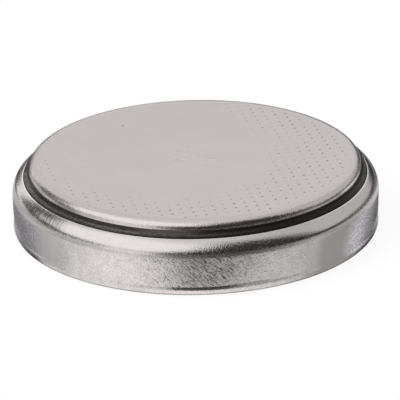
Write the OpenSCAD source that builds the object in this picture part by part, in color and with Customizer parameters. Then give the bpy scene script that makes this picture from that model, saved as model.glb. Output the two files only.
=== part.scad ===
// Round lithium coin cell. A drawn steel can is crimped over a plastic gasket and a drawn steel cap,
// with the electrodes stacked inside. The axis is Z and the flat base of the can lies on z = 0.

/* [Cell] */
// Outer diameter of the can
cell_diameter = 24.5; // [20:0.1:30]
// Height from the can's base to the cap's face
cell_height = 4.7; // [4.3:0.1:6]

/* [Positive can] */
// Thickness of the can's steel sheet
can_sheet = 0.28; // [0.2:0.01:0.34]
// Outer radius of the corner between base and wall
can_corner_radius = 0.4; // [0.36:0.02:0.8]
// Outer radius of the shoulder rolled over at the rim
shoulder_radius = 1.28; // [1.1:0.02:1.4]
// Angle that the rolled rim turns inwards from upright
shoulder_turn = 64; // [50:1:70]
// Depth of the rim's upper edge below the cap's face
rim_drop = 0.95; // [0.8:0.05:1.2]

/* [Negative cap] */
// Thickness of the cap's steel sheet
cap_sheet = 0.25; // [0.18:0.01:0.3]
// Outer radius of the edge between the cap's face and side
cap_edge_radius = 0.45; // [0.35:0.05:0.7]
// Space between the two layers of the cap's folded skirt
fold_gap = 0.06; // [0.02:0.01:0.12]

/* [Gasket] */
// Thickness of the gasket between the skirt and the can's wall
gasket_wall = 0.56; // [0.45:0.01:0.7]
// Thickness of the gasket between the skirt's upper edge and the can's shoulder
gasket_shoulder = 0.4; // [0.25:0.05:0.8]
// Thickness of the gasket between the skirt's fold and the can's floor
gasket_foot = 0.5; // [0.35:0.05:0.7]
// Thickness of the low inner wall that closes the skirt's channel
gasket_inner_wall = 0.3; // [0.2:0.05:0.4]
// Height of the inner wall above the gasket's foot
gasket_inner_height = 0.8; // [0.4:0.1:1.5]
// Height of the cap's side left bare above the gasket's bead
bead_margin = 0.06; // [0:0.02:0.16]
// Radius of the bead's rounded top
bead_radius = 0.9; // [0.6:0.05:1.5]
// Depth of the bead below the rim's outer edge, along the cut end of the sheet
bead_set_back = 0.06; // [0.02:0.01:0.12]

/* [Electrodes] */
// Thickness of the lithium disc pressed to the inside of the cap
anode_thickness = 0.95; // [0.5:0.05:1.2]
// Width of the free ring between the lithium disc and the cap's side
anode_margin = 0.65; // [0.5:0.05:1]
// Thickness of the separator cup over the cathode
separator_thickness = 0.15; // [0.1:0.01:0.25]
// Space between the separator cup and the gasket
separator_clearance = 0.1; // [0.05:0.01:0.2]
// Radius of the cathode pellet's upper edge
cathode_edge_radius = 0.3; // [0.1:0.05:0.6]
// Thickness of the collector grid under the cathode
collector_thickness = 0.12; // [0.08:0.01:0.2]
// Width of the whole rim around the collector grid
collector_rim = 0.9; // [0.6:0.1:1.5]
// Distance from one opening of the collector grid to the next
grid_pitch = 1.6; // [1.4:0.1:2.4]
// Width of each bar between the openings
grid_bar = 0.5; // [0.3:0.05:0.8]

/* [Hidden] */
// Radii of the nested pieces, from the can inwards
can_radius = cell_diameter / 2;
bore_radius = can_radius - can_sheet;
skirt_radius = bore_radius - gasket_wall;
cap_radius = skirt_radius - cap_sheet - fold_gap;
cap_inner_radius = cap_radius - cap_sheet;
channel_radius = cap_inner_radius - gasket_inner_wall;
separator_radius = channel_radius - separator_clearance;
cathode_radius = separator_radius - separator_thickness;
anode_radius = cap_inner_radius - anode_margin;

// Rolled shoulder: both its faces turn about one centre, given as [radius, height]
rim_height = cell_height - rim_drop;
shoulder_z = rim_height - shoulder_radius * sin(shoulder_turn);
shoulder_centre = [can_radius - shoulder_radius, shoulder_z];
shoulder_inner_radius = shoulder_radius - can_sheet;
can_corner = [can_radius - can_corner_radius, can_corner_radius];

// Folded skirt: it stands in the gasket's channel, its upper edge below the shoulder
fold_radius = cap_sheet + fold_gap / 2;
fold_z = can_sheet + gasket_foot + fold_radius;
fold_centre = [cap_radius + fold_gap / 2, fold_z];
skirt_inset = skirt_radius - shoulder_centre[0];
skirt_top = shoulder_z + sqrt(pow(shoulder_inner_radius, 2) - pow(skirt_inset, 2)) - gasket_shoulder;
cap_edge = [cap_radius - cap_edge_radius, cell_height - cap_edge_radius];
channel_top = can_sheet + gasket_foot + gasket_inner_height;

// The visible bead bulges from the cut end of the rim up to the cap's side
bead_foot = rim_point(shoulder_radius - bead_set_back);
bead_head = [cap_radius, cap_edge[1] - bead_margin];
bead_centre = arc_centre(bead_foot, bead_head, bead_radius);

// Heights of the stacked electrodes, from the cap's inner face down to the can's floor
anode_top = cell_height - cap_sheet;
separator_top = anode_top - anode_thickness;
cathode_top = separator_top - separator_thickness;
cathode_bottom = can_sheet + collector_thickness;
cathode_edge = [cathode_radius - cathode_edge_radius, cathode_top - cathode_edge_radius];
separator_edge_radius = cathode_edge_radius + separator_thickness;

// Openings of the collector grid, kept whole inside its rim
grid_radius = cathode_radius - collector_rim;
grid_opening = grid_pitch - grid_bar;
grid_reach = floor(grid_radius / grid_pitch);

$fn = 144;

// Point on the cut end of the rolled rim, at a distance from the shoulder's centre
function rim_point(reach) = shoulder_centre + reach * [cos(shoulder_turn), sin(shoulder_turn)];

// Centre of the arc through p and q that bulges to the right on its way from p to q
function arc_centre(p, q, radius) =
    let (chord = q - p)
    let (half = norm(chord) / 2)
    let (left = [-chord[1], chord[0]] / norm(chord))
    (p + q) / 2 + sqrt(radius * radius - half * half) * left;

// Rectangle of the section plane, from its low corner to its high corner
module flat(low, high) {
    translate(low)
        square(high - low);
}

// Slice of a disc about a centre, from one angle to another under a half turn on
module slice(centre, radius, from, to) {
    reach = 2 * radius;
    half = (to - from) / 2;
    translate(centre)
        intersection() {
            circle(radius);
            rotate(from + half)
                polygon([[0, 0], [reach, -reach * tan(half)], [reach, reach * tan(half)]]);
        }
}

// Sheet bent about a centre: radius is that of its outer face
module bend(centre, radius, sheet, from, to) {
    difference() {
        slice(centre, radius, from, to);
        translate(centre)
            circle(radius - sheet);
    }
}

// Can: base, corner, wall and rolled shoulder of one sheet
module can_section() {
    flat([0, 0], [can_corner[0], can_sheet]);
    bend(can_corner, can_corner_radius, can_sheet, 270, 360);
    flat([bore_radius, can_corner[1]], [can_radius, shoulder_z]);
    bend(shoulder_centre, shoulder_radius, can_sheet, 0, shoulder_turn);
}

// Cap: face, edge, side and folded skirt of one sheet
module cap_section() {
    flat([0, anode_top], [cap_edge[0], cell_height]);
    bend(cap_edge, cap_edge_radius, cap_sheet, 0, 90);
    flat([cap_inner_radius, fold_z], [cap_radius, cap_edge[1]]);
    bend(fold_centre, fold_radius, cap_sheet, 180, 270);
    bend(fold_centre, fold_radius, cap_sheet, 270, 360);
    flat([cap_radius + fold_gap, fold_z], [skirt_radius, skirt_top]);
}

// Space that the closed cap takes up, from its axis to its skirt
module cap_space() {
    flat([0, fold_z], [cap_radius, cell_height]);
    flat([cap_radius, fold_z], [skirt_radius, skirt_top]);
    slice(fold_centre, fold_radius, 180, 270);
    slice(fold_centre, fold_radius, 270, 360);
}

// Space between the gasket's channel and the inside of the can, closed over by the bead
module seal_space() {
    flat([channel_radius, can_sheet], [can_corner[0], can_corner[1]]);
    slice(can_corner, can_corner_radius - can_sheet, 270, 360);
    flat([channel_radius, can_corner[1]], [bore_radius, shoulder_z]);
    slice(shoulder_centre, shoulder_inner_radius, 0, 90);
    polygon([
        [channel_radius, shoulder_z],
        shoulder_centre,
        bead_foot,
        bead_head,
        [channel_radius, bead_head[1]]
    ]);
    intersection() {
        translate(bead_centre)
            circle(bead_radius);
        polygon([bead_centre, 2 * bead_foot - bead_centre, 2 * bead_head - bead_centre]);
    }
}

// Gasket: the space round the skirt, and the low wall inside it
module gasket_section() {
    difference() {
        seal_space();
        cap_space();
    }
    flat([channel_radius, can_sheet], [cap_inner_radius, channel_top]);
}

// Cathode pellet with its upper edge rounded
module cathode_section() {
    flat([0, cathode_bottom], [cathode_radius, cathode_edge[1]]);
    flat([0, cathode_edge[1]], [cathode_edge[0], cathode_top]);
    slice(cathode_edge, cathode_edge_radius, 0, 90);
}

// Separator: a cup upside down over the pellet, its rim on the can's floor
module separator_section() {
    flat([0, cathode_top], [cathode_edge[0], separator_top]);
    bend(cathode_edge, separator_edge_radius, separator_thickness, 0, 90);
    flat([cathode_radius, can_sheet], [separator_radius, cathode_edge[1]]);
}

module positive_can() {
    color([0.78, 0.77, 0.76])
        rotate_extrude()
            can_section();
}

module gasket() {
    color([0.15, 0.14, 0.13])
        rotate_extrude()
            gasket_section();
}

module negative_cap() {
    color([0.76, 0.73, 0.73])
        rotate_extrude()
            cap_section();
}

module lithium_anode() {
    color([0.85, 0.86, 0.88])
        translate([0, 0, separator_top])
            cylinder(h = anode_thickness, r = anode_radius);
}

module separator() {
    color([0.95, 0.95, 0.92])
        rotate_extrude()
            separator_section();
}

module cathode_pellet() {
    color([0.2, 0.2, 0.21])
        rotate_extrude()
            cathode_section();
}

// Steel disc pierced by square openings
module cathode_collector() {
    color([0.62, 0.62, 0.64])
        translate([0, 0, can_sheet])
            linear_extrude(collector_thickness)
                difference() {
                    circle(cathode_radius);
                    for (column = [-grid_reach:grid_reach], row = [-grid_reach:grid_reach]) {
                        place = grid_pitch * [column, row];
                        far_corner = [for (c = place) abs(c) + grid_opening / 2];
                        if (norm(far_corner) < grid_radius)
                            translate(place)
                                square(grid_opening, center = true);
                    }
                }
}

positive_can();
gasket();
negative_cap();
lithium_anode();
separator();
cathode_pellet();
cathode_collector();
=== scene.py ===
import math
import random
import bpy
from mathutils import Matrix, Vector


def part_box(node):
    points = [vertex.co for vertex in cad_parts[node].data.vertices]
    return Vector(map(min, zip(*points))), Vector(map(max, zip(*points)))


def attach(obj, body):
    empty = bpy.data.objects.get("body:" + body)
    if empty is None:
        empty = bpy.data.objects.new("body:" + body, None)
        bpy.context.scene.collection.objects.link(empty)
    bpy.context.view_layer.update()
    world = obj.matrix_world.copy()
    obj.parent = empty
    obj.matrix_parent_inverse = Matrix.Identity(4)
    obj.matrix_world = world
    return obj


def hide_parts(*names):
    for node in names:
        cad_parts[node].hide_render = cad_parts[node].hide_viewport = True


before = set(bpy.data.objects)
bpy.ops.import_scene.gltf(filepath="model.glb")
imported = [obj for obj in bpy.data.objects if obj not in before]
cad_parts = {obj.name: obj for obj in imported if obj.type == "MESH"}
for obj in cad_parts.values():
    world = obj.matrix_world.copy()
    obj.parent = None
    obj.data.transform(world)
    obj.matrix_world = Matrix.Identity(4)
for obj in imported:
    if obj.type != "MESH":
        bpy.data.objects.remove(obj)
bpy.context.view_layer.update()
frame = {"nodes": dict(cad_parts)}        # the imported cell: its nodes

from types import SimpleNamespace

import bpy
from mathutils import Matrix, Vector
from mathutils.geometry import delaunay_2d_cdt

scene = bpy.context.scene
mm = 0.001
perRadian = 180 / math.pi
tiny = 1e-6
print("frame loaded, nodes:", ", ".join(frame["nodes"]))


def nodeBox(name):
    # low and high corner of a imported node, in mm
    low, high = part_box(name)
    return Vector(low) / mm, Vector(high) / mm


canLow, canHigh = nodeBox("positive_can")
capLow, capHigh = nodeBox("negative_cap")
canRadius = (canHigh.x - canLow.x) / 2
rimHeight = canHigh.z
cellHeight = capHigh.z
skirtRadius = (capHigh.x - capLow.x) / 2
floorThickness = nodeBox("gasket")[0].z


class Wire:
    # one output socket of a graph; arithmetic on it adds Math nodes
    def __init__(self, graph, socket):
        self.graph = graph
        self.socket = socket

    def maths(self, operation, *values):
        return self.graph.add("ShaderNodeMath", dict(enumerate(values)), {"operation": operation})

    def __add__(self, other):
        return self.maths("ADD", self, other)

    __radd__ = __add__

    def __sub__(self, other):
        return self.maths("SUBTRACT", self, other)

    def __rsub__(self, other):
        return self.maths("SUBTRACT", other, self)

    def __mul__(self, other):
        return self.maths("MULTIPLY", self, other)

    __rmul__ = __mul__

    def __truediv__(self, other):
        return self.maths("DIVIDE", self, other)

    def __rtruediv__(self, other):
        return self.maths("DIVIDE", other, self)

    def __pow__(self, other):
        return self.maths("POWER", self, other)

    def __gt__(self, other):
        return self.maths("GREATER_THAN", self, other)


class Graph:
    # the node tree of a material or the world, emptied
    def __init__(self, owner):
        owner.use_nodes = True
        self.owner = owner
        self.tree = owner.node_tree
        self.tree.nodes.clear()

    def add(self, kind, sockets=None, settings=None, out=0):
        node = self.tree.nodes.new(kind)
        for name, value in (settings or {}).items():
            if name == "stops":
                ramp = node.color_ramp
                while len(ramp.elements) < len(value):
                    ramp.elements.new(1)
                for element, (place, shade) in zip(ramp.elements, value):
                    element.position = place
                    element.color = (shade, shade, shade, 1)
            else:
                setattr(node, name, value)
        for name, value in (sockets or {}).items():
            if isinstance(value, Wire):
                self.tree.links.new(value.socket, node.inputs[name])
            elif value is not None:
                node.inputs[name].default_value = value
        return Wire(self, node.outputs[out]) if node.outputs else node

    def pieces(self, vector):
        # the three numbers of a vector
        parts = self.add("ShaderNodeSeparateXYZ", {0: vector})
        return [Wire(self, parts.socket.node.outputs[i]) for i in range(3)]

    def vector(self, x, y, z):
        return self.add("ShaderNodeCombineXYZ", {0: x, 1: y, 2: z})

    def noise(self, place, scale, detail, rough):
        sockets = {"Vector": place, "Scale": scale, "Detail": detail, "Roughness": rough}
        return self.add("ShaderNodeTexNoise", sockets, {"noise_dimensions": "3D"})

    def step(self, value, low, high, atLow=0.0, atHigh=1.0):
        # smooth change from one value to another
        sockets = {"Value": value, "From Min": low, "From Max": high, "To Min": atLow, "To Max": atHigh}
        return self.add("ShaderNodeMapRange", sockets, {"interpolation_type": "SMOOTHSTEP"})

    def window(self, value, low, high, soft, strength=1.0):
        # the given strength between low and high, 0 outside, with soft ends
        rise = self.step(value, low - soft, low + soft)
        fall = self.step(value, high - soft, high + soft, strength, 0.0)
        return rise * fall

    def windows(self, value, spans):
        # the sum of several windows, each given as low, high, softness and strength
        total = 0.0
        for span in spans:
            total = total + self.window(value, *span)
        return total

    def streaks(self, s, t, depth, kind):
        # noise drawn out in one direction of the plane (s, t)
        alongS, alongT = kind["along"]
        acrossS, acrossT = kind["across"]
        along = s * alongS + t * alongT + kind.get("shift", 0)
        across = s * acrossS + t * acrossT
        place = self.vector(along, across, depth * kind["deep"] + kind.get("layer", 0))
        return self.noise(place, 1.0, *kind["noise"])

    def marks(self, s, t, depth, kind):
        # the parts of the streaks that pass a threshold
        return self.step(self.streaks(s, t, depth, kind), *kind["cut"]) * kind["share"]

    def smudge(self, at, measure, patch, noise=None):
        # a patch between two heights or radii and round some headings, mottled by a noise
        shape = self.window(measure, *patch["span"]) * self.windows(at.degrees, patch["stretches"])
        return shape if noise is None else shape * mottle(noise, *patch["mottle"])

    def tint(self, factor, first, second):
        # colour between two colours
        sockets = {"Factor": factor, 6: first, 7: second}
        return self.add("ShaderNodeMix", sockets, {"data_type": "RGBA"}, out=2)

    def coats(self, look, *coats):
        # the piece's own colour, and over it each coat with its share
        colour = rgba(look["colour"])
        for share, name in coats:
            colour = self.tint(share, colour, rgba(look[name]))
        return colour


def mottle(noise, base, gain):
    return base + noise * gain


def rgba(colour):
    return (*colour, 1.0)


def newMaterial(name):
    return Graph(bpy.data.materials.new(name))


def finishMaterial(graph, sockets, height):
    # height is that of the bump, in mm
    sockets["Normal"] = graph.add("ShaderNodeBump", {"Distance": mm, "Height": height})
    shader = graph.add("ShaderNodeBsdfPrincipled", sockets)
    graph.add("ShaderNodeOutputMaterial", {"Surface": shader})
    return graph.owner


def roundCoordinates(graph):
    # values at a spot of the surface: place in mm, radius, and angle about the axis
    metres = graph.add("ShaderNodeTexCoord", out=3)
    place = graph.add("ShaderNodeVectorMath", {0: metres, "Scale": 1 / mm}, {"operation": "SCALE"})
    x, y, z = graph.pieces(place)
    radius = (x * x + y * y) ** 0.5
    angle = y.maths("ARCTAN2", y, x)
    degrees = angle * perRadian
    return SimpleNamespace(place=place, x=x, y=y, z=z, radius=radius, angle=angle, degrees=degrees)


def polar(centre, reach, turn):
    a = math.radians(turn)
    return (centre[0] + reach * math.cos(a), centre[1] + reach * math.sin(a))


def arc(centre, radius, start, end, steps):
    # points of a circle in the section plane, angles in degrees from outwards towards up
    return [polar(centre, radius, start + (end - start) * i / steps) for i in range(steps + 1)]


def ringPoints(radius, height, turns):
    angles = [2 * math.pi * i / turns for i in range(turns)]
    return [(radius * math.cos(a), radius * math.sin(a), height) for a in angles]


def lathe(profile, turns, closed=True):
    # turns a section round the axis; a point on the axis becomes one vertex
    vertices, rows, faces = [], [], []
    for radius, height in profile:
        if radius < tiny:
            rows.append([len(vertices)])
            vertices.append((0.0, 0.0, height))
        else:
            rows.append(list(range(len(vertices), len(vertices) + turns)))
            vertices.extend(ringPoints(radius, height, turns))
    pairs = list(zip(rows, rows[1:])) + ([(rows[-1], rows[0])] if closed else [])
    for lower, upper in pairs:
        for i in range(turns):
            j = (i + 1) % turns
            if len(lower) == 1 and len(upper) == 1:
                break
            if len(lower) == 1:
                faces.append((lower[0], upper[j], upper[i]))
            elif len(upper) == 1:
                faces.append((lower[i], lower[j], upper[0]))
            else:
                faces.append((lower[i], lower[j], upper[j], upper[i]))
    return vertices, faces, rows


def placeMesh(name, vertices, faces, material):
    # a new object in the scene, from points in mm
    mesh = bpy.data.meshes.new(name)
    mesh.from_pydata([Vector(v) * mm for v in vertices], [], faces)
    mesh.materials.append(material)
    piece = bpy.data.objects.new(name, mesh)
    scene.collection.objects.link(piece)
    return piece


def makePiece(name, vertices, faces, material, replaced, flatFaces=()):
    piece = placeMesh(name, vertices, faces, material)
    mesh = piece.data
    flat = set(flatFaces)
    mesh.polygons.foreach_set("use_smooth", [i not in flat for i in range(len(mesh.polygons))])
    mesh.validate()
    mesh.update()
    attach(piece, "root")
    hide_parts(replaced)
    print("made", name, "with", len(mesh.polygons), "faces")


def stagePiece(name, vertices, faces, material):
    piece = placeMesh(name, vertices, faces, material)
    return piece


# In the dictionaries of the can, gasket and cap, a stretch is a heading from and to, its softness and
# strength, in degrees with the front at -90. A span is a height or radius from and to, and its
# softness, in mm. A cut is where a noise begins to show and where it is full, and the values there if
# not 0 and 1. A noise is its scale to a mm, detail and roughness, and a mottle its least and gain.
# Streaks have their noise's steps to a mm in two directions, along and across, and then in depth.
canLook = {
    "sheet": 0.28,  # mm
    "cornerRadius": 0.4,  # mm, between base and wall
    "shoulderRadius": 1.28,  # mm
    "shoulderTurn": 64,  # degrees the rim rolls inwards
    "ledgeHeight": 0.58,  # mm, where the wall steps in above the base band
    "ledgeReach": 0.13,  # mm, half the height of that step
    "ledgeWidth": 0.03,  # mm
    "rimOver": 1.8,  # degrees the cut edge stands further round, from burrs
    "rimEdge": 0.045,  # mm, radius worn on the rim's cut edge
    "rimEdgeTurn": 88,  # degrees the worn edge turns
    "turns": 360,
    "colour": (0.655, 0.627, 0.615),
    "shade": (0.58, 0.555, 0.545),
    "dull": (0.30, 0.285, 0.28),
    # colour of the painted highlights and glints
    "highlightColour": (0.95, 0.93, 0.92),
    # stain colour, for the dirt and also for the painted shade along the ledge
    "stainAndShade": (0.105, 0.095, 0.090),
    "roughness": 0.16,
    "grainNoise": (11.0, 2.0, 0.55),
    "pebbleNoise": (5.5, 1.0, 0.5),
    "speckNoise": (8.5, 1.0, 0.5),
    "blotchNoise": (1.7, 3.0, 0.6),
    "patchNoise": (0.30, 2.0, 0.5),
    # mm, where one part of the sheet passes to the next by height, and the rim's edge by radius
    "wallStart": (0.03, 0.25),
    "shoulderStart": (2.4, 3.1),
    "bandEnd": (-0.08, 0.02),  # from the ledge
    "rimStart": (11.55, 11.61),
    # heights in mm of the bump
    "depth": {"grain": 0.011, "pebble": 0.013, "matt": 0.004, "marks": 0.004, "scratch": 0.006,
              "hair": 0.0025},
    "patchyGrain": (0.6, 0.8),  # grain's depth, plain and with the patches
    "smoothed": {"polished": 0.85, "band": 0.45},  # share of grain missing there
    "cleaner": {"polished": 0.85, "shoulder": 0.75, "base": 0.6},  # share of dull specks missing
    "unscratched": {"shoulder": 0.96, "band": 0.8},  # share of scratches missing
    "polished": ((-52, -37, 2.5), (-147, -138, 2.5)),
    "coarse": ((-163, -149, 3), (-35, -15, 3)),
    # painted glints on the coarse stretches, and the painted dark between them
    "coarseGlint": (0.52, 0.66, 0.0, 0.55),
    "coarseDark": (0.48, 0.34, 0.0, 0.35),
    "dullGrain": (0.40, 0.62, 0.40, 0.0),
    "dullBlotch": (0.35, 0.62, 0.16, 0.0),
    # slanting scratches, a few that cross them, and finer ones along the round
    "scratchTurn": 48,  # degrees they slant down
    "scratch": {"along": (2.4, 0), "across": (0, 18.0), "deep": 2, "noise": (1.0, 0.5),
                "cut": (0.58, 0.68), "share": 1.0},
    "crossing": {"along": (1.5, 0.9), "across": (10.0, 17.0), "deep": 2, "layer": 7, "noise": (1.0, 0.5),
                 "cut": (0.58, 0.68), "share": 0.6},
    "fine": {"along": (2.2, 0), "across": (-1.8, 18.0), "deep": 2, "noise": (2.0, 0.5),
             "cut": (0.54, 0.66), "share": 0.28},
    "fewScratches": 0.06,  # share of scratches everywhere
    "patchedScratches": 0.12,  # and in patches
    "scratchPatches": (0.22, 1.0, 0.5),
    "patchCut": (0.40, 0.62),
    "worn": (-95, -79, 7),  # the most scratched stretch
    "besideWorn": (-112, -72, 9, 0.25),
    "fineStretch": (-92, -54, 6),
    "speckCut": (0.59, 0.66),
    "specks": {"span": (0.0, 2.32, 0.3), "stretches": ((-106, -76, 12, 0.75),)},
    # rolling marks and handling marks on the base
    "rolled": {"along": (0.5, 0), "across": (0, 8.0), "deep": 1, "noise": (3.0, 0.6),
               "cut": (0.45, 0.65), "share": 0.16},
    "handled": {"along": (5.0, 4.0), "across": (-0.6, 0.5), "deep": 1, "noise": (2.0, 0.6),
                "cut": (0.62, 0.74), "share": 0.22},
    # hairlines across the shoulder, where the rolling tool let go
    "hairline": {"along": (10.5, 0), "across": (0, 0.25), "deep": 0.25, "noise": (1.0, 0.5)},
    "hairCut": (0.56, 0.40),
    "hairMottle": (0.25, 0.7),
    "letGo": (-157, -137, 3),
    "hairStart": (2.95, 3.25),
    # painted shade along the ledge and a little above it, and painted highlight just above it, by height
    # from the ledge
    "ledgeShade": {"span": (-0.11, 0.08, 0.04), "stretches": ((-96, -81, 6, 1.4), (-118, -56, 7, 0.15)),
                   "mottle": (0.1, 1.8)},
    "risenShade": {"span": (0.02, 0.12, 0.05), "stretches": ((-84, -66, 5, 0.5),)},
    "rising": (-90, -72, 0.0, 0.06),
    # painted highlight just above the ledge at both ends
    "paintedHighlight": {"span": (0.0, 0.10, 0.05), "stretches": ((-160, -146, 3, 1.0), (-36, -22, 4, 0.8))},
    "rimUnhighlighted": (-140, -45, 12, 0.85),  # where the rim's worn edge gets no painted highlight
    # a darker mottled patch on the shoulder, and a darker line where the wall ends, by height
    "shoulderPatch": {"span": (3.16, 3.78, 0.08), "stretches": ((-148, -143, 2.5, 0.06), (-146, -137, 3, 0.24)),
                "mottle": (0.3, 1.4)},
    "shoulderLine": {"span": (2.90, 3.08, 0.06), "stretches": ((-149, -132, 5),), "mottle": (0.1, 0.4)},
    # the shoulder is matt in spots
    "matt": ((-100, -60, 8), (-160, -138, 5)),
    "mattCut": (0.42, 0.62, -0.02, 0.11),
    "scratchTint": 0.9,
    "roughVary": 0.10,
    "smoothEnds": 0.06,
    "ends": (-163, -17, 6),
}


def canScratches(graph, at):
    # slanting scratches, in patches round the wall and thickest on the worn stretch
    look = canLook
    turn = math.radians(look["scratchTurn"])
    along = at.angle * canRadius
    lengthwise = along * math.cos(turn) - at.z * math.sin(turn)
    crosswise = along * math.sin(turn) + at.z * math.cos(turn)
    patches = graph.step(graph.noise(at.place, *look["scratchPatches"]), *look["patchCut"])
    worn = graph.window(at.degrees, *look["worn"])
    share = look["fewScratches"] + patches * look["patchedScratches"] + worn
    share = share + graph.window(at.degrees, *look["besideWorn"])
    scratches = graph.marks(lengthwise, crosswise, at.radius, look["scratch"]) * share
    scratches = scratches + graph.marks(along, at.z, at.radius, look["crossing"]) * worn
    beside = graph.window(at.degrees, *look["fineStretch"])
    scratches = scratches + graph.marks(along, at.z, at.radius, look["fine"]) * beside
    missing = look["unscratched"]
    scratches = scratches * (1 - at.polished) * (1 - at.onShoulder * missing["shoulder"])
    scratches = scratches * (1 - at.onBand * missing["band"])
    # pin-sized dark specks among them
    specks = graph.step(at.speck, *look["speckCut"])
    return scratches + specks * graph.smudge(at, at.rise, look["specks"])


def canDarkMarks(graph, at):
    # painted shade along the ledge and a little above it at the right, and darker marks on the shoulder
    look = canLook
    risen = at.rise - graph.step(at.degrees, *look["rising"])
    return (graph.smudge(at, at.rise, look["ledgeShade"], at.speck)
            + graph.smudge(at, risen, look["risenShade"])
            + graph.smudge(at, at.z, look["shoulderPatch"], at.pebble)
            + graph.smudge(at, at.z, look["shoulderLine"], at.pebble))


def canMaterial():
    look, depth = canLook, canLook["depth"]
    graph = newMaterial("canSteel")
    at = roundCoordinates(graph)
    # the parts of the sheet
    at.rise = at.z - look["ledgeHeight"]
    onWall = graph.step(at.z, *look["wallStart"])
    onBase = 1 - onWall
    at.onShoulder = graph.step(at.z, *look["shoulderStart"])
    at.onBand = graph.step(at.rise, *look["bandEnd"], 1.0, 0.0)
    at.polished = graph.windows(at.degrees, look["polished"]) * onWall
    coarse = graph.windows(at.degrees, look["coarse"]) * onWall * (1 - at.onShoulder)
    # pebbled grain of the plated sheet
    grain = graph.noise(at.place, *look["grainNoise"])
    at.pebble = graph.noise(at.place, *look["pebbleNoise"])
    at.speck = graph.noise(at.place, *look["speckNoise"])
    blotch = graph.noise(at.place, *look["blotchNoise"])
    patchy = graph.noise(at.place, *look["patchNoise"])
    scratches = canScratches(graph, at)
    marks = graph.marks(at.x, at.y, at.z, look["rolled"]) + graph.marks(at.x, at.y, at.z, look["handled"])
    marks = marks * onBase
    hairline = graph.streaks(at.angle * canRadius, at.z, at.radius, look["hairline"])
    letGo = graph.window(at.degrees, *look["letGo"]) * graph.step(at.z, *look["hairStart"])
    # painted highlight along the ledge at both ends, and on the rim's worn edge
    onRim = graph.step(at.radius, *look["rimStart"], 1.0, 0.0) * at.onShoulder
    paintedHighlight = graph.smudge(at, at.rise, look["paintedHighlight"])
    paintedHighlight = paintedHighlight + onRim * (1 - graph.window(at.degrees, *look["rimUnhighlighted"]))
    # painted glints on the coarse stretches, and painted dark between them
    paintedGlint = graph.step(at.pebble, *look["coarseGlint"]) * coarse
    darkBetweenGlints = graph.step(at.pebble, *look["coarseDark"]) * coarse
    # dull specks, and the marks on the base
    cleaner = look["cleaner"]
    specks = graph.step(grain, *look["dullGrain"]) + graph.step(blotch, *look["dullBlotch"])
    specks = specks * (1 - at.polished * cleaner["polished"]) * (1 - at.onShoulder * cleaner["shoulder"])
    specks = specks * (1 - onBase * cleaner["base"]) + marks
    # dirt in the scratches and the hairlines, painted shade along the ledge, and darker marks on the
    # shoulder
    dirtAndShade = scratches * look["scratchTint"] + canDarkMarks(graph, at)
    dirtAndShade = dirtAndShade + graph.step(hairline, *look["hairCut"]) * letGo * mottle(at.speck, *look["hairMottle"])
    colour = graph.coats(look, (patchy, "shade"), (paintedHighlight, "highlightColour"), (paintedGlint, "highlightColour"),
                         (darkBetweenGlints, "dull"), (specks, "dull"), (dirtAndShade, "stainAndShade"))
    # smoother at both ends of the wall, and matt in spots on the shoulder
    ends = onWall * (1 - graph.window(at.degrees, *look["ends"]))
    matt = graph.windows(at.degrees, look["matt"]) * at.onShoulder
    rough = look["roughness"] - ends * look["smoothEnds"] + (grain + blotch - 1) * look["roughVary"]
    rough = rough + graph.step(at.speck, *look["mattCut"]) * matt
    # bump
    smoothed = look["smoothed"]
    bump = grain * mottle(patchy, *look["patchyGrain"]) * depth["grain"]
    bump = bump * (1 - at.polished * smoothed["polished"]) * (1 - at.onBand * smoothed["band"])
    bump = bump + at.pebble * coarse * depth["pebble"] + at.speck * matt * depth["matt"]
    bump = bump - marks * depth["marks"] - scratches * depth["scratch"] + hairline * letGo * depth["hair"]
    return finishMaterial(graph, {"Base Color": colour, "Metallic": 1.0, "Roughness": rough}, bump)


def shoulderCentre():
    shoulder, turn = canLook["shoulderRadius"], math.radians(canLook["shoulderTurn"])
    return (canRadius - shoulder, rimHeight - shoulder * math.sin(turn))


def canSection():
    look = canLook
    sheet, corner, shoulder = look["sheet"], look["cornerRadius"], look["shoulderRadius"]
    turn, inset, reach = look["shoulderTurn"], look["ledgeWidth"], look["ledgeReach"]
    centre = shoulderCentre()
    cornerCentre = (canRadius - corner, corner)
    section = [(0.0, 0.0)]
    section += [(cornerCentre[0] * f, 0.0) for f in (0.25, 0.5, 0.75, 0.9)]
    section += arc(cornerCentre, corner, -90, 0, 12)
    # the base band, and the wall pinched in just above it
    low, high = look["ledgeHeight"] - reach, look["ledgeHeight"] + reach
    steps = 8
    for i in range(steps + 1):
        f = i / steps
        ease = f * f * (3 - 2 * f)
        section.append((canRadius - inset * ease, low + (high - low) * f))
    for i in range(1, steps):
        f = i / steps
        section.append((canRadius - inset * (1 - f) ** 2, high + (centre[1] - high) * f))
    edge = look["rimEdge"]
    end = turn + look["rimOver"] - math.degrees(edge / shoulder)
    section += arc(centre, shoulder, 0, end, 26)
    # the worn outer edge of the cut rim
    section += arc(polar(centre, shoulder - edge, end), edge, end, end + look["rimEdgeTurn"], 6)[1:]
    section += arc(centre, shoulder - sheet, turn, 0, 14)
    section.append((canRadius - sheet, corner))
    section += arc(cornerCentre, corner - sheet, 0, -90, 5)[1:]
    section.append((0.0, sheet))
    return section


def makeCan():
    vertices, faces = lathe(canSection(), canLook["turns"])[:2]
    makePiece("can", vertices, faces, canMaterial(), "positive_can")


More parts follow.
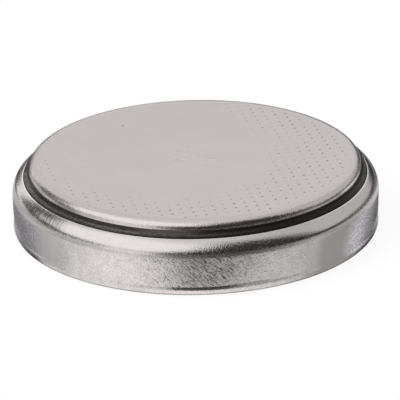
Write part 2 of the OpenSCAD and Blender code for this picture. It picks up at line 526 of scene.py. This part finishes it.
gasketLook = {
    # radius and height in mm of the visible seal: valley by the cap, lip, and groove outside
    "valley": ((11.10, 4.17), (11.12, 4.075), (11.16, 3.995), (11.22, 3.945), (11.28, 3.930)),
    "lip": (11.365, 3.845),
    "lipRadius": 0.09,  # mm
    "lipStart": 112,  # degrees, where the lip's round begins
    "groove": (11.462, 3.66),
    "innerWall": 0.3,  # mm
    "wallTop": 1.58,  # mm
    "turns": 300,
    "colour": (0.0070, 0.0052, 0.0040),
    "paler": (0.0112, 0.00832, 0.0064),
    # colour of the painted highlight, also used for the dust
    "paintedHighlight": (0.112, 0.101, 0.094),
    "roughness": 0.24,
    "roughVary": 0.2,
    "specular": 0.13,
    "grainNoise": (6.0, 1.0, 0.5),
    "drawn": {"along": (6.0, 0), "across": (0, 5.0), "deep": 5.0, "noise": (3.0, 0.6)},
    "depth": {"grain": 0.014, "drawn": 0.006},  # mm
    "lipWidth": (-0.12, 0.07, 0.05),  # mm from the lip, where the painted highlight is strongest
    "lipHighlight": (0.14, 0.98),  # share of painted highlight everywhere, and more on the lip
    "handled": (-62, -108, 0.07, 1.02),  # painted highlight, more and more towards the left
    # painted highlight in spots at the right and the front left
    "highlightSpots": ((-20, -6, 5, 0.12), (-126, -108, 6, 0.65)),
    "grainCut": (0.35, 0.65, 0.20, 0.62),  # mottles the painted highlight, and so do the streaks
    "drawnShare": 0.30,
    "dust": {"span": (11.0, 11.27, 0.05), "stretches": ((-109, -91, 5, 0.42),), "mottle": (0.5, 1.0)},
}


def gasketMaterial():
    look, depth = gasketLook, gasketLook["depth"]
    graph = newMaterial("gasketPlastic")
    at = roundCoordinates(graph)
    drawn = graph.streaks(at.angle, at.z, at.radius, look["drawn"])
    grain = graph.noise(at.place, *look["grainNoise"])
    # painted highlight on the seal, most of all on the lip, stronger towards the left
    onLip = graph.window(at.radius - look["lip"][0], *look["lipWidth"])
    handled = graph.step(at.degrees, *look["handled"]) + graph.windows(at.degrees, look["highlightSpots"])
    mottled = graph.step(grain, *look["grainCut"]) + drawn * look["drawnShare"]
    paintedHighlight = mottle(onLip, *look["lipHighlight"]) * handled * mottled
    # dust in the valley at the front left
    dust = graph.smudge(at, at.radius, look["dust"], grain)
    colour = graph.coats(look, (drawn, "paler"), (paintedHighlight, "paintedHighlight"), (dust, "paintedHighlight"))
    rough = look["roughness"] + (drawn - 0.5) * look["roughVary"]
    sockets = {"Base Color": colour, "Roughness": rough, "Specular IOR Level": look["specular"]}
    return finishMaterial(graph, sockets, grain * depth["grain"] + drawn * depth["drawn"])


def capFold():
    # centre and outer radius of the cap's folded edge
    radius = capLook["sheet"] + capLook["foldGap"] / 2
    return (capSide + capLook["foldGap"] / 2, capLow.z + radius), radius


def gasketSection():
    look, can = gasketLook, canLook
    inner = can["shoulderRadius"] - can["sheet"]
    channel = capSide - capLook["sheet"] - look["innerWall"]
    foldCentre, foldRadius = capFold()
    corner = can["cornerRadius"]
    # from the cap's side outwards: a shallow valley, the raised lip, and the groove at the rim
    section = [(capSide, capLook["skirtTop"]), (capSide, look["valley"][0][1])]
    section += look["valley"][1:]
    section += arc(look["lip"], look["lipRadius"], look["lipStart"], 0, 12)
    section += [look["groove"]]
    # down inside the can, over its floor, and up the low inner wall
    section += arc(shoulderCentre(), inner, can["shoulderTurn"], 0, 10)
    section += arc((canRadius - corner, corner), corner - can["sheet"], 0, -90, 4)
    section += [(channel, floorThickness), (channel, look["wallTop"])]
    section += [(capSide - capLook["sheet"], look["wallTop"])]
    # round the cap's fold
    section += arc(foldCentre, foldRadius, 180, 360, 10)
    section += [(skirtRadius, capLook["skirtTop"])]
    return section


def makeGasket():
    # the section runs clockwise, so it is turned round to face outwards
    vertices, faces = lathe(gasketSection()[::-1], gasketLook["turns"])[:2]
    makePiece("gasketRing", vertices, faces, gasketMaterial(), "gasket")


capLook = {
    "sheet": 0.25,  # mm
    "edgeRadius": 0.45,  # mm, between face and side
    "foldGap": 0.06,  # mm inside the folded skirt
    "skirtTop": 3.0975,  # mm, top of the folded-back layer
    "turns": 360,
    "flatMargin": 0.08,  # mm of the flat face that belongs to the turned part
    "dotPitch": 0.70,  # mm between dimples
    "dotTurn": 12.0,  # degrees the rows are turned
    "dotShift": (0.015, 0.092),  # mm, from the middle of the cell
    "dotWander": 0.02,  # mm, at most, out of the row
    "dotRadius": 0.10,  # mm
    "dotShrink": 0.25,  # share of the radius that the faintest dimples lose
    "dotSides": 12,
    "dotDepth": 0.045,  # mm at its deepest
    "dotVary": (0.30, 1.1),  # strength of single dimples
    "dotFaintest": 0.03,  # strength below which none is pressed
    "dotRings": ((0.72, 0.42), (0.4, 0.86)),  # share of a dimple's radius and depth
    "dotField": 10.2,  # mm, radius of the dimpled circle
    "dotRise": 0.34,  # share of the can's radius over which they reach full depth
    # where the dimples begin, as a share of the can's radius, by heading
    "dotStart": ((-180, 0.72), (-150, 0.64), (-120, 0.57), (-90, 0.50), (-60, 0.44), (-30, 0.38),
                 (0, 0.34), (30, 0.38), (60, 0.50), (80, 0.74), (100, 0.95), (150, 0.95), (180, 0.72)),
    "nick": (-4.86, 6.16),  # mm, one stray nick in the face
    "nickRadius": 0.10,  # mm
    "nickStrength": 3.0,  # times as deep as a dimple
    "seed": 7,
    "colour": (0.650, 0.603, 0.602),
    "shade": (0.610, 0.566, 0.566),
    "darker": (0.4575, 0.4245, 0.4245),
    "darkest": (0.366, 0.3396, 0.3396),
    "scuffed": (0.72, 0.68, 0.70),
    # colour of the painted shade
    "paintedShade": (0.11, 0.10, 0.095),
    # painted shade inside the dimples
    "paintedPitShade": (0.10, 0.095, 0.09),
    # colour of the painted highlight
    "highlightColour": (0.95, 0.92, 0.92),
    "roughness": 0.20,
    "grainNoise": (11.0, 3.0, 0.6),
    "speckNoise": (7.5, 1.0, 0.5),
    "cloudNoise": (0.28, 3.0, 0.55),
    "faceFade": (0.05, 0.27),  # mm inside the dimpled circle, and inside the side
    # straight rolling marks, scuffs near the middle, and drawing marks down the side
    "rolled": {"along": (0.35, 0.06), "across": (-1.5, 9.0), "deep": 1, "noise": (2.0, 0.6)},
    "scuff": {"along": (1.2, -0.2), "shift": 4.24, "across": (1.12, 4.8), "deep": 0.8,
              "noise": (3.0, 0.65)},
    "scuffEnd": (0.6, 2.8),  # mm from the middle
    "scuffCut": (0.54, 0.74),
    "scuffTint": 0.7,
    "drawn": {"along": (4.5, 0), "across": (0, 0.5), "deep": 0.3, "noise": (3.0, 0.65)},
    "scuffDark": (0.44, 0.28, 0.0, 0.35),
    "grainCut": (0.3, 0.7, 0.0, 0.16),
    "pitHeight": (-0.03, -0.003),  # mm from the face
    "pitTint": 0.75,
    # painted shade in the crease along the seam, by height from the face; -5 is below the whole cell
    "seamShade": (
        {"span": (-0.33, -0.08, 0.05), "stretches": ((-154, -137, 5, 0.55),)},
        {"span": (-5, -0.31, 0.05), "stretches": ((-101, -49, 7, 0.75), (-147, -134, 4, 0.5))},
        {"span": (-0.40, -0.28, 0.03), "stretches": ((-46, -29, 4, 0.55),)},
    ),
    # painted shade, a fine line just inside the rounded edge at the back, by radius
    "backLine": {"span": (10.56, 10.84, 0.06), "stretches": ((26, 94, 8, 0.35),)},
    "shadeMottle": (0.6, 0.8),
    # painted highlight on the side just above the seam at the right
    "seamHighlight": {"span": (-5, -0.32, 0.04), "stretches": ((-28, -6, 4, 0.7),)},
    "wornEdge": (-165, -72, 14, 0.05),  # rougher there
    "grainRough": 0.06,
    "cloudRough": 0.05,
    # heights in mm of the bump
    "depth": {"grain": 0.0012, "sideGrain": 0.0070, "speck": 0.018, "rolled": 0.001, "scuff": 0.0015,
              "drawn": 0.008},
}
capSide = skirtRadius - capLook["sheet"] - capLook["foldGap"]


def capColour(graph, at):
    look = capLook
    drop = at.z - cellHeight
    grainy = graph.step(at.grain, *look["grainCut"])
    darkScuffs = graph.step(at.scuff, *look["scuffDark"]) * at.middle
    # painted shade inside the dimples
    shadedPits = graph.step(drop, *look["pitHeight"], look["pitTint"], 0.0) * at.onFace
    # painted shade at the back edge and in the crease along the seam
    paintedShade = graph.smudge(at, at.radius, look["backLine"])
    for patch in look["seamShade"]:
        paintedShade = paintedShade + graph.smudge(at, drop, patch)
    paintedShade = paintedShade * mottle(at.drawn, *look["shadeMottle"])
    # painted highlight on the side just above the seam
    paintedSeamHighlight = graph.smudge(at, drop, look["seamHighlight"])
    scuffed = at.scuffs * look["scuffTint"]
    return graph.coats(look, (at.cloud, "shade"), (grainy, "darker"), (scuffed, "scuffed"),
                       (darkScuffs, "darkest"), (shadedPits, "paintedPitShade"), (paintedShade, "paintedShade"), (paintedSeamHighlight, "highlightColour"))


def capMaterial():
    look, depth = capLook, capLook["depth"]
    graph = newMaterial("capSteel")
    at = roundCoordinates(graph)
    inside, atSide = look["faceFade"]
    at.onFace = graph.step(at.radius, look["dotField"] - inside, capSide - atSide, 1.0, 0.0)
    onSide = 1 - at.onFace
    at.grain = graph.noise(at.place, *look["grainNoise"])
    at.cloud = graph.noise(at.place, *look["cloudNoise"])
    speck = graph.noise(at.place, *look["speckNoise"])
    rolled = graph.streaks(at.x, at.y, at.z, look["rolled"])
    at.middle = graph.step(at.radius, *look["scuffEnd"], 1.0, 0.0)
    at.scuff = graph.streaks(at.x, at.y, at.z, look["scuff"])
    at.scuffs = graph.step(at.scuff, *look["scuffCut"]) * at.middle
    at.drawn = graph.streaks(at.angle * capSide, at.z, at.radius, look["drawn"])
    colour = capColour(graph, at)
    rough = look["roughness"] + onSide * graph.window(at.degrees, *look["wornEdge"])
    rough = rough + (at.grain - 0.5) * look["grainRough"] + (at.cloud - 0.5) * look["cloudRough"]
    bump = at.grain * (depth["grain"] + onSide * depth["sideGrain"])
    bump = bump + (speck * depth["speck"] + at.drawn * depth["drawn"]) * onSide
    bump = bump + rolled * depth["rolled"] - at.scuffs * depth["scuff"]
    return finishMaterial(graph, {"Base Color": colour, "Metallic": 1.0, "Roughness": rough}, bump)


def dotStrength(x, y):
    # the press left the dimples deepest at the outer right and front, and none at the back
    reach = math.hypot(x, y) / canRadius
    heading = math.degrees(math.atan2(y, x))
    for (turn, start), (nextTurn, nextStart) in zip(capLook["dotStart"], capLook["dotStart"][1:]):
        if turn <= heading <= nextTurn:
            start += (nextStart - start) * (heading - turn) / (nextTurn - turn)
            break
    f = min(max((reach - start) / capLook["dotRise"], 0.0), 1.0)
    return f * (2 - f)


def dotPlaces():
    # middle, radius and depth of each dimple, in rows with a little chance, and of the nick
    look = capLook
    rng = random.Random(look["seed"])
    turn = math.radians(look["dotTurn"])
    across = Vector((math.cos(turn), math.sin(turn))) * look["dotPitch"]
    up = Vector((-math.sin(turn), math.cos(turn))) * look["dotPitch"]
    reach = int(look["dotField"] / look["dotPitch"]) + 1
    wander, shrink = look["dotWander"], look["dotShrink"]
    places = []
    for row in range(-reach, reach + 1):
        for column in range(-reach, reach + 1):
            middle = across * column + up * row + Vector(look["dotShift"])
            strength = dotStrength(middle.x, middle.y) * rng.uniform(*look["dotVary"])
            if middle.length > look["dotField"] or strength < look["dotFaintest"]:
                continue
            middle += Vector((rng.uniform(-wander, wander), rng.uniform(-wander, wander)))
            radius = look["dotRadius"] * (1 - shrink + shrink * min(strength, 1))
            places.append((middle, radius, look["dotDepth"] * strength))
    places.append((Vector(look["nick"]), look["nickRadius"], look["dotDepth"] * look["nickStrength"]))
    print("dimples on the cap:", len(places))
    return places


def dotRing(middle, radius):
    sides = capLook["dotSides"]
    angles = [2 * math.pi * i / sides for i in range(sides)]
    return [middle + Vector((math.cos(a), math.sin(a))) * radius for a in angles]


def capSection():
    # from inside the face's edge down the side, round the fold, and back up the inside
    look = capLook
    edge, sheet, gap = look["edgeRadius"], look["sheet"], look["foldGap"]
    edgeCentre = (capSide - edge, cellHeight - edge)
    foldCentre, foldRadius = capFold()
    section = [(edgeCentre[0] - look["flatMargin"], cellHeight)]
    section += arc(edgeCentre, edge, 90, 0, 18)
    section += [(capSide, foldCentre[1] + (edgeCentre[1] - foldCentre[1]) * f) for f in (0.9, 0.5, 0.0)]
    section += arc((capSide + gap / 2, foldCentre[1]), gap / 2, 180, 360, 6)[1:]
    # up the folded-back layer, over its cut edge and down its outside
    section += [(skirtRadius - sheet, look["skirtTop"]), (skirtRadius, look["skirtTop"])]
    section += arc(foldCentre, foldRadius, 360, 180, 12)
    section += arc(edgeCentre, edge - sheet, 0, 90, 5)
    section.append((0.0, cellHeight - sheet))
    return section


def fillFace(vertices, faces, rim, places):
    # triangles over the flat face inside the rim, with a ring left open for each dimple
    sides = capLook["dotSides"]
    points = [Vector(vertices[i][:2]) for i in rim]
    edges = [(i, (i + 1) % len(points)) for i in range(len(points))]
    firsts = []
    for middle, radius, depth in places:
        first = len(points)
        firsts.append(first)
        points.extend(dotRing(middle, radius))
        edges.extend((first + i, first + (i + 1) % sides) for i in range(sides))
    # output kind 1 holds the triangles inside the outermost ring
    made = delaunay_2d_cdt(points, edges, [], 1, tiny, True)
    flatPoints, flatFaces, origins = made[0], made[2], made[3]
    # points on the rim are the rim's own vertices
    index = {}
    for i, source in enumerate(origins):
        given = [s for s in source if s < len(rim)]
        if given:
            index[i] = rim[given[0]]
        else:
            index[i] = len(vertices)
            vertices.append((flatPoints[i].x, flatPoints[i].y, cellHeight))
    ofInput = {s: index[i] for i, source in enumerate(origins) for s in source}
    rings = [[ofInput[first + i] for i in range(sides)] for first in firsts]
    owner = {vertex: number for number, ring in enumerate(rings) for vertex in ring}
    flats = []
    for face in flatFaces:
        corners = [index[i] for i in face]
        owners = {owner.get(c) for c in corners}
        if len(owners) > 1 or None in owners:
            flats.append(len(faces))
            faces.append(tuple(corners))
    return rings, flats


def pressDot(vertices, faces, ring, place):
    # a bowl below its ring on the face
    middle, radius, depth = place
    sides = len(ring)
    for share, drop in capLook["dotRings"]:
        base = len(vertices)
        for x, y in dotRing(middle, radius * share):
            vertices.append((x, y, cellHeight - depth * drop))
        inner = list(range(base, base + sides))
        for i in range(sides):
            j = (i + 1) % sides
            faces.append((ring[i], ring[j], inner[j], inner[i]))
        ring = inner
    tip = len(vertices)
    vertices.append((middle.x, middle.y, cellHeight - depth))
    for i in range(sides):
        faces.append((ring[i], ring[(i + 1) % sides], tip))


def makeCap():
    vertices, faces, rows = lathe(capSection(), capLook["turns"], closed=False)
    faces = [tuple(reversed(f)) for f in faces]
    places = dotPlaces()
    rings, flats = fillFace(vertices, faces, rows[0], places)
    for ring, place in zip(rings, places):
        pressDot(vertices, faces, ring, place)
    makePiece("capShell", vertices, faces, capMaterial(), "negative_cap", flats)


innerLook = {
    "lithium": {"node": "lithium_anode", "colour": (0.72, 0.73, 0.75), "roughness": 0.42,
                "metallic": 1.0, "grain": 2.5},
    "separator": {"node": "separator", "colour": (0.82, 0.82, 0.79), "roughness": 0.9,
                  "metallic": 0.0, "grain": 14.0},
    "cathode": {"node": "cathode_pellet", "colour": (0.028, 0.028, 0.030), "roughness": 0.75,
                "metallic": 0.0, "grain": 20.0},
    "collector": {"node": "cathode_collector", "colour": (0.47, 0.46, 0.45), "roughness": 0.3,
                  "metallic": 1.0, "grain": 6.0},
}
grainLook = {
    "detail": 4.0,
    "fineness": 0.6,
    "shade": 0.8,  # share of the colour left in the darkest grains
    "roughVary": 0.2,
    "depth": 0.02,  # mm
}


def innerMaterial(name, look):
    graph = newMaterial(name + "Finish")
    place = roundCoordinates(graph).place
    grain = graph.noise(place, look["grain"], grainLook["detail"], grainLook["fineness"])
    darker = [part * grainLook["shade"] for part in look["colour"]]
    colour = graph.tint(grain, rgba(darker), rgba(look["colour"]))
    rough = look["roughness"] + (grain - 0.5) * grainLook["roughVary"]
    sockets = {"Base Color": colour, "Metallic": look["metallic"], "Roughness": rough}
    return finishMaterial(graph, sockets, grain * grainLook["depth"])


def dressInside():
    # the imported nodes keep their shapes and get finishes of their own
    for name, look in innerLook.items():
        piece = frame["nodes"][look["node"]]
        piece.data.materials.clear()
        piece.data.materials.append(innerMaterial(name, look))
    print("dressed the pieces inside")


studio = {
    "floorSize": 2000,  # mm
    "floorHeight": -0.01,  # mm
    "paper": 0.9,
    "ambient": 0.72,  # strength of the world on matt surfaces
    "shadow": 0.09,  # share of the floor's own shading that shows near the cell
    "shadowEnd": (12.5, 19),  # mm from the middle, where that share fades out
}


def background(graph):
    # 1 where a ray shows the backdrop: seen directly, mirrored, or through something clear
    paths = graph.add("ShaderNodeLightPath").socket.node
    seen = [Wire(graph, paths.outputs[f"Is {kind} Ray"]) for kind in ("Camera", "Glossy", "Transmission")]
    return seen[0] + seen[1] + seen[2] > 0.5


def makeWorld():
    world = bpy.data.worlds.new("studio")
    scene.world = world
    graph = Graph(world)
    level = studio["ambient"]
    shade = graph.tint(background(graph), (level, level, level, 1), (1, 1, 1, 1))
    light = graph.add("ShaderNodeBackground", {"Color": shade, "Strength": 1.0})
    graph.add("ShaderNodeOutputWorld", {"Surface": light})


def makeFloor():
    graph = newMaterial("floorPaper")
    at = roundCoordinates(graph)
    near = graph.step(at.radius, *studio["shadowEnd"], studio["shadow"], 0.0)
    white = studio["paper"]
    paper = graph.add("ShaderNodeBsdfDiffuse", {"Color": (white, white, white, 1)})
    glow = graph.add("ShaderNodeEmission", {"Color": (1, 1, 1, 1), "Strength": 1.0})
    share = background(graph) * (1 - near)
    mixed = graph.add("ShaderNodeMixShader", {0: share, 1: paper, 2: glow})
    # clear from below, so that the base can be looked at
    clear = graph.add("ShaderNodeBsdfTransparent")
    below = graph.add("ShaderNodeNewGeometry", out=6)
    mixed = graph.add("ShaderNodeMixShader", {0: below, 1: mixed, 2: clear})
    graph.add("ShaderNodeOutputMaterial", {"Surface": mixed})
    half, height = studio["floorSize"] / 2, studio["floorHeight"]
    corners = [(x * half, y * half, height) for x, y in ((-1, -1), (1, -1), (1, 1), (-1, 1))]
    stagePiece("floor", corners, [(0, 1, 2, 3)], graph.owner)


# Headings here have the front at 0 and the right at 90, and heights are degrees above the table.
tent = {
    "radius": 150,  # mm
    "turns": 96,
    "domeSteps": 40,
    "tableHeight": -0.005,  # mm
    "tableRings": (14.0, 18.0, 24.0, 34.0, 60.0, 100.0),  # mm
    # brightness of the sides, and where one passes to the next
    "left": 1.30,
    "leftSpan": (-150, 8, 14),
    "right": 0.68,
    "top": 0.95,
    "topStart": (62, 84),
    "back": (21.5, 25, 0.84, 0.885),
    "backStart": (146, 165),
    # dark openings: heading from and to, height from and to, softness, and how dark
    "slots": (
        (-126, -90, 2, 16, 3, 0.86),
        (-92, -58, 5, 14, 2.5, 0.92),
        (-58, -18, 9, 15, 2.5, 0.45),
        (-137, -112, 5, 38, 3.5, 0.87),
        (-145, -120, 28, 42, 4, 0.72),
        (-150, -114, 41, 66, 5, 0.33),
        (-168, -149, -7, 8, 2, 0.93),
        (-24, 12, -5, 20, 5, 0.80),
        (10, 70, -5, 14, 5, 0.73),
        (132, 171, -6, 7.5, 2.5, 0.95),
        (145, 168, 0, 14, 2, 0.93),
    ),
    "slotSides": 1.5,  # times as soft at the sides
    # two low ones at the back: height from and to, softness and how dark, and where they begin
    "backSlots": (((0, 11, 2.5, 0.75), (158, 168)), ((-2, 14, 2, 0.8), (168, 173))),
    # the large one at the front right, where the lens looks in: slant and place of each edge
    "opening": {"left": (-0.95, -37, -23), "right": (0.45, 92, 74), "top": (0.25, 75, 61),
                "low": (0, 3, 10), "dark": 0.93},
    # the dark line of the table's far edge on the right, sinking towards the back
    "tableEdge": {"span": (58, 168, 8, 0.92), "height": 7.2, "sinkFrom": 80, "sink": 0.0022,
                  "width": (-6, 4.5, 3)},
    # brightness of the table: at the foot and near it, by the can's heading that mirrors it, then
    # far off, by its own heading
    "foot": ((-90, 0.8), (-80, 0.6), (-72, 0.3), (-66, 0.10), (-61, 0.15), (-55, 0.75), (-42, 1.20),
             (-20, 1.3), (0, 1.4), (28, 1.05), (35, 0.72), (40, 0.45), (56, 0.42), (60, 0.3),
             (66, 0.10), (76, 0.12), (82, 0.6), (90, 1.0)),
    "near": ((-92, 1.2), (-87, 0.3), (-80, 0.30), (-70, 0.30), (-60, 0.54), (-50, 0.68), (-40, 1.17),
             (-30, 1.30), (-20, 1.31), (-10, 1.06), (0, 0.60), (10, 0.70), (20, 0.90), (30, 0.92),
             (38, 0.74), (42, 0.46), (52, 0.44), (57, 0.86), (61, 0.92), (66, 0.50), (72, 0.34),
             (78, 0.17), (86, 0.16), (92, 1.1)),
    "far": ((-180, 0.30), (-166, 0.60), (-150, 0.6), (-143, 0.25), (-137, 0.07), (-132, 0.16),
            (-127, 0.80), (-117, 0.60), (-102, 0.60), (-88, 0.80), (-73, 0.60), (-59, 0.65),
            (-44, 0.92), (-29, 0.94), (-15, 0.46), (-5, 0.12), (4, 0.07), (20, 0.08), (40, 0.25),
            (59, 0.66), (73, 0.44), (88, 0.58), (102, 0.78), (113, 0.75), (122, 0.36), (130, 0.15),
            (136, 0.25), (143, 0.42), (150, 0.38), (165, 0.9), (170, 0.60), (180, 0.30)),
    "levelMost": 2,  # the highest level that these can hold
    "nearStart": (0.95, 1.35),  # mm from the can
    "farStart": (7.0, 9.5),
    "mirrorTurn": 1.22,  # times as far round as the can's heading that mirrors it
    "darkEnd": ((35, 50), (143, 168, 3, 0.93)),  # dark far off at the back: mm, and heading
    "footShade": (0.06, -0.10, 0.0, 0.5),  # dimmer under the can's rounded foot
    "tableEnd": (0.2, 0.6),  # mm above the table, where the tent's side begins
    "warmLevel": (0.04, 0.40),
    "plain": (1.0, 0.99, 0.98),
    "warm": (1.12, 1.0, 0.90),
    "cool": (1.0, 0.975, 1.06),
    "coolSpan": (56, 84, 5),
}


def tentSky(graph, heading, height):
    # brightness of the sides and the top, with the dark openings
    aside = heading.maths("ABSOLUTE", heading)
    right = tent["right"]
    sky = graph.window(heading, *tent["leftSpan"], tent["left"] - right) + right
    sky = sky + graph.step(height, *tent["topStart"]) * (tent["top"] - sky)
    sky = sky + graph.step(aside, *tent["backStart"]) * (graph.step(height, *tent["back"]) - sky)
    for fromTurn, toTurn, low, high, soft, dark in tent["slots"]:
        slot = graph.window(heading, fromTurn, toTurn, soft * tent["slotSides"], dark)
        sky = sky * (1 - slot * graph.window(height, low, high, soft))
    for span, start in tent["backSlots"]:
        sky = sky * (1 - graph.window(height, *span) * graph.step(aside, *start))
    opening = tent["opening"]["dark"]
    for measure, other, edge in ((heading, height, "left"), (heading, height, "right"),
                                 (height, heading, "top"), (height, heading, "low")):
        slant, *cut = tent["opening"][edge]
        opening = opening * graph.step(measure + other * slant, *cut)
    sky = sky * (1 - opening)
    edge = tent["tableEdge"]
    past = heading.maths("MAXIMUM", heading - edge["sinkFrom"], 0)
    offLine = height + past * past * edge["sink"] - edge["height"]
    return sky * (1 - graph.window(offLine, *edge["width"]) * graph.window(heading, *edge["span"]))


def tableLevel(graph, name, heading):
    # one list of the table's brightness, as a ramp over the whole round
    stops = [((turn + 180) / 360, level / tent["levelMost"]) for turn, level in tent[name]]
    ramp = graph.add("ShaderNodeValToRGB", {0: (heading + 180) / 360}, {"stops": stops})
    return ramp * tent["levelMost"]


def tentTable(graph, radius, heading, mirrored, reach):
    # brightness of the table from the can outwards
    foot = tableLevel(graph, "foot", mirrored)
    near = tableLevel(graph, "near", mirrored)
    far = tableLevel(graph, "far", heading)
    table = foot + graph.step(reach, *tent["nearStart"]) * (near - foot)
    table = table + graph.step(reach, *tent["farStart"]) * (far - table)
    start, span = tent["darkEnd"]
    aside = heading.maths("ABSOLUTE", heading)
    table = table * (1 - graph.step(radius, *start) * graph.window(aside, *span))
    return table * (1 - graph.step(radius - canRadius, *tent["footShade"]))


def makeTent():
    # a soft light tent that only the metal mirrors
    graph = newMaterial("tentCloth")
    at = roundCoordinates(graph)
    radians = at.x.maths("ARCTAN2", at.x, 0 - at.y)
    heading = radians * perRadian
    sky = tentSky(graph, heading, at.z.maths("ARCTAN2", at.z, at.radius) * perRadian)
    # the can's heading from which a spot of the table is mirrored to the front
    guess = radians / tent["mirrorTurn"]
    across = guess.maths("COSINE", guess) * canRadius
    reach = (across * across + at.radius * at.radius - canRadius ** 2) ** 0.5 - across
    bend = reach * guess.maths("SINE", guess) / at.radius
    mirrored = (radians - bend.maths("ARCSINE", bend)) * perRadian
    table = tentTable(graph, at.radius, heading, mirrored, reach)
    onTable = graph.step(at.z, *tent["tableEnd"], 1.0, 0.0)
    level = sky + onTable * (table - sky)
    warm = graph.step(level, *tent["warmLevel"], 1.0, 0.0)
    cool = graph.window(mirrored.maths("ABSOLUTE", mirrored), *tent["coolSpan"]) * onTable
    colour = graph.tint(warm, rgba(tent["plain"]), rgba(tent["warm"]))
    colour = graph.tint(cool, colour, rgba(tent["cool"]))
    lit = graph.add("ShaderNodeVectorMath", {0: colour, "Scale": level}, {"operation": "SCALE"})
    glow = graph.add("ShaderNodeEmission", {"Color": lit, "Strength": 1.0})
    graph.add("ShaderNodeOutputMaterial", {"Surface": glow})
    graph.owner.cycles.emission_sampling = "NONE"
    rings = (canRadius - canLook["cornerRadius"], *tent["tableRings"])
    profile = [(radius, tent["tableHeight"]) for radius in rings]
    profile += arc((0, 0), tent["radius"], 0, 90, tent["domeSteps"])
    vertices, faces = lathe(profile, tent["turns"], closed=False)[:2]
    piece = stagePiece("lightTent", vertices, faces, graph.owner)
    for kind in ("camera", "diffuse", "transmission", "shadow", "volume_scatter"):
        setattr(piece, "visible_" + kind, False)


keyLook = {
    "place": (-150, -70, 200),  # mm
    "size": 180,  # mm
    "power": 0.45,  # watts
}


def makeKey():
    lamp = bpy.data.lights.new("key", "AREA")
    lamp.shape = "DISK"
    lamp.size = keyLook["size"] * mm
    lamp.energy = keyLook["power"]
    holder = bpy.data.objects.new("key", lamp)
    holder.location = Vector(keyLook["place"]) * mm
    holder.rotation_euler = (-holder.location).to_track_quat("-Z", "Y").to_euler()
    holder.visible_camera = False
    holder.visible_glossy = False
    scene.collection.objects.link(holder)


cameraLook = {
    "elevation": 22.944,  # degrees above the horizon
    "distance": 268.8,  # mm from the middle of the base
    "lens": 360,  # mm
    "sensor": 36,  # mm
    "aim": (0.285, 0.60, 1.416),  # mm, the point at the middle of the picture
    "roll": 1.097,  # degrees
    "clip": (0.01, 10),  # m
}


def makeCamera():
    look = cameraLook
    camera = bpy.data.cameras.new("camera")
    camera.sensor_width = look["sensor"]
    camera.lens = look["lens"]
    camera.clip_start, camera.clip_end = look["clip"]
    rise = math.radians(look["elevation"])
    place = Vector((0, -math.cos(rise), math.sin(rise))) * look["distance"]
    facing = (Vector(look["aim"]) - place).to_track_quat("-Z", "Y").to_matrix()
    turn = facing @ Matrix.Rotation(math.radians(-look["roll"]), 3, "Z")
    holder = bpy.data.objects.new("camera", camera)
    holder.location = place * mm
    holder.rotation_euler = turn.to_euler()
    scene.collection.objects.link(holder)
    scene.camera = holder


makeCan()
makeGasket()
makeCap()
dressInside()
makeWorld()
makeFloor()
makeTent()
makeKey()
makeCamera()
scene.view_settings.view_transform = "Standard"
print("stage, light and camera ready")
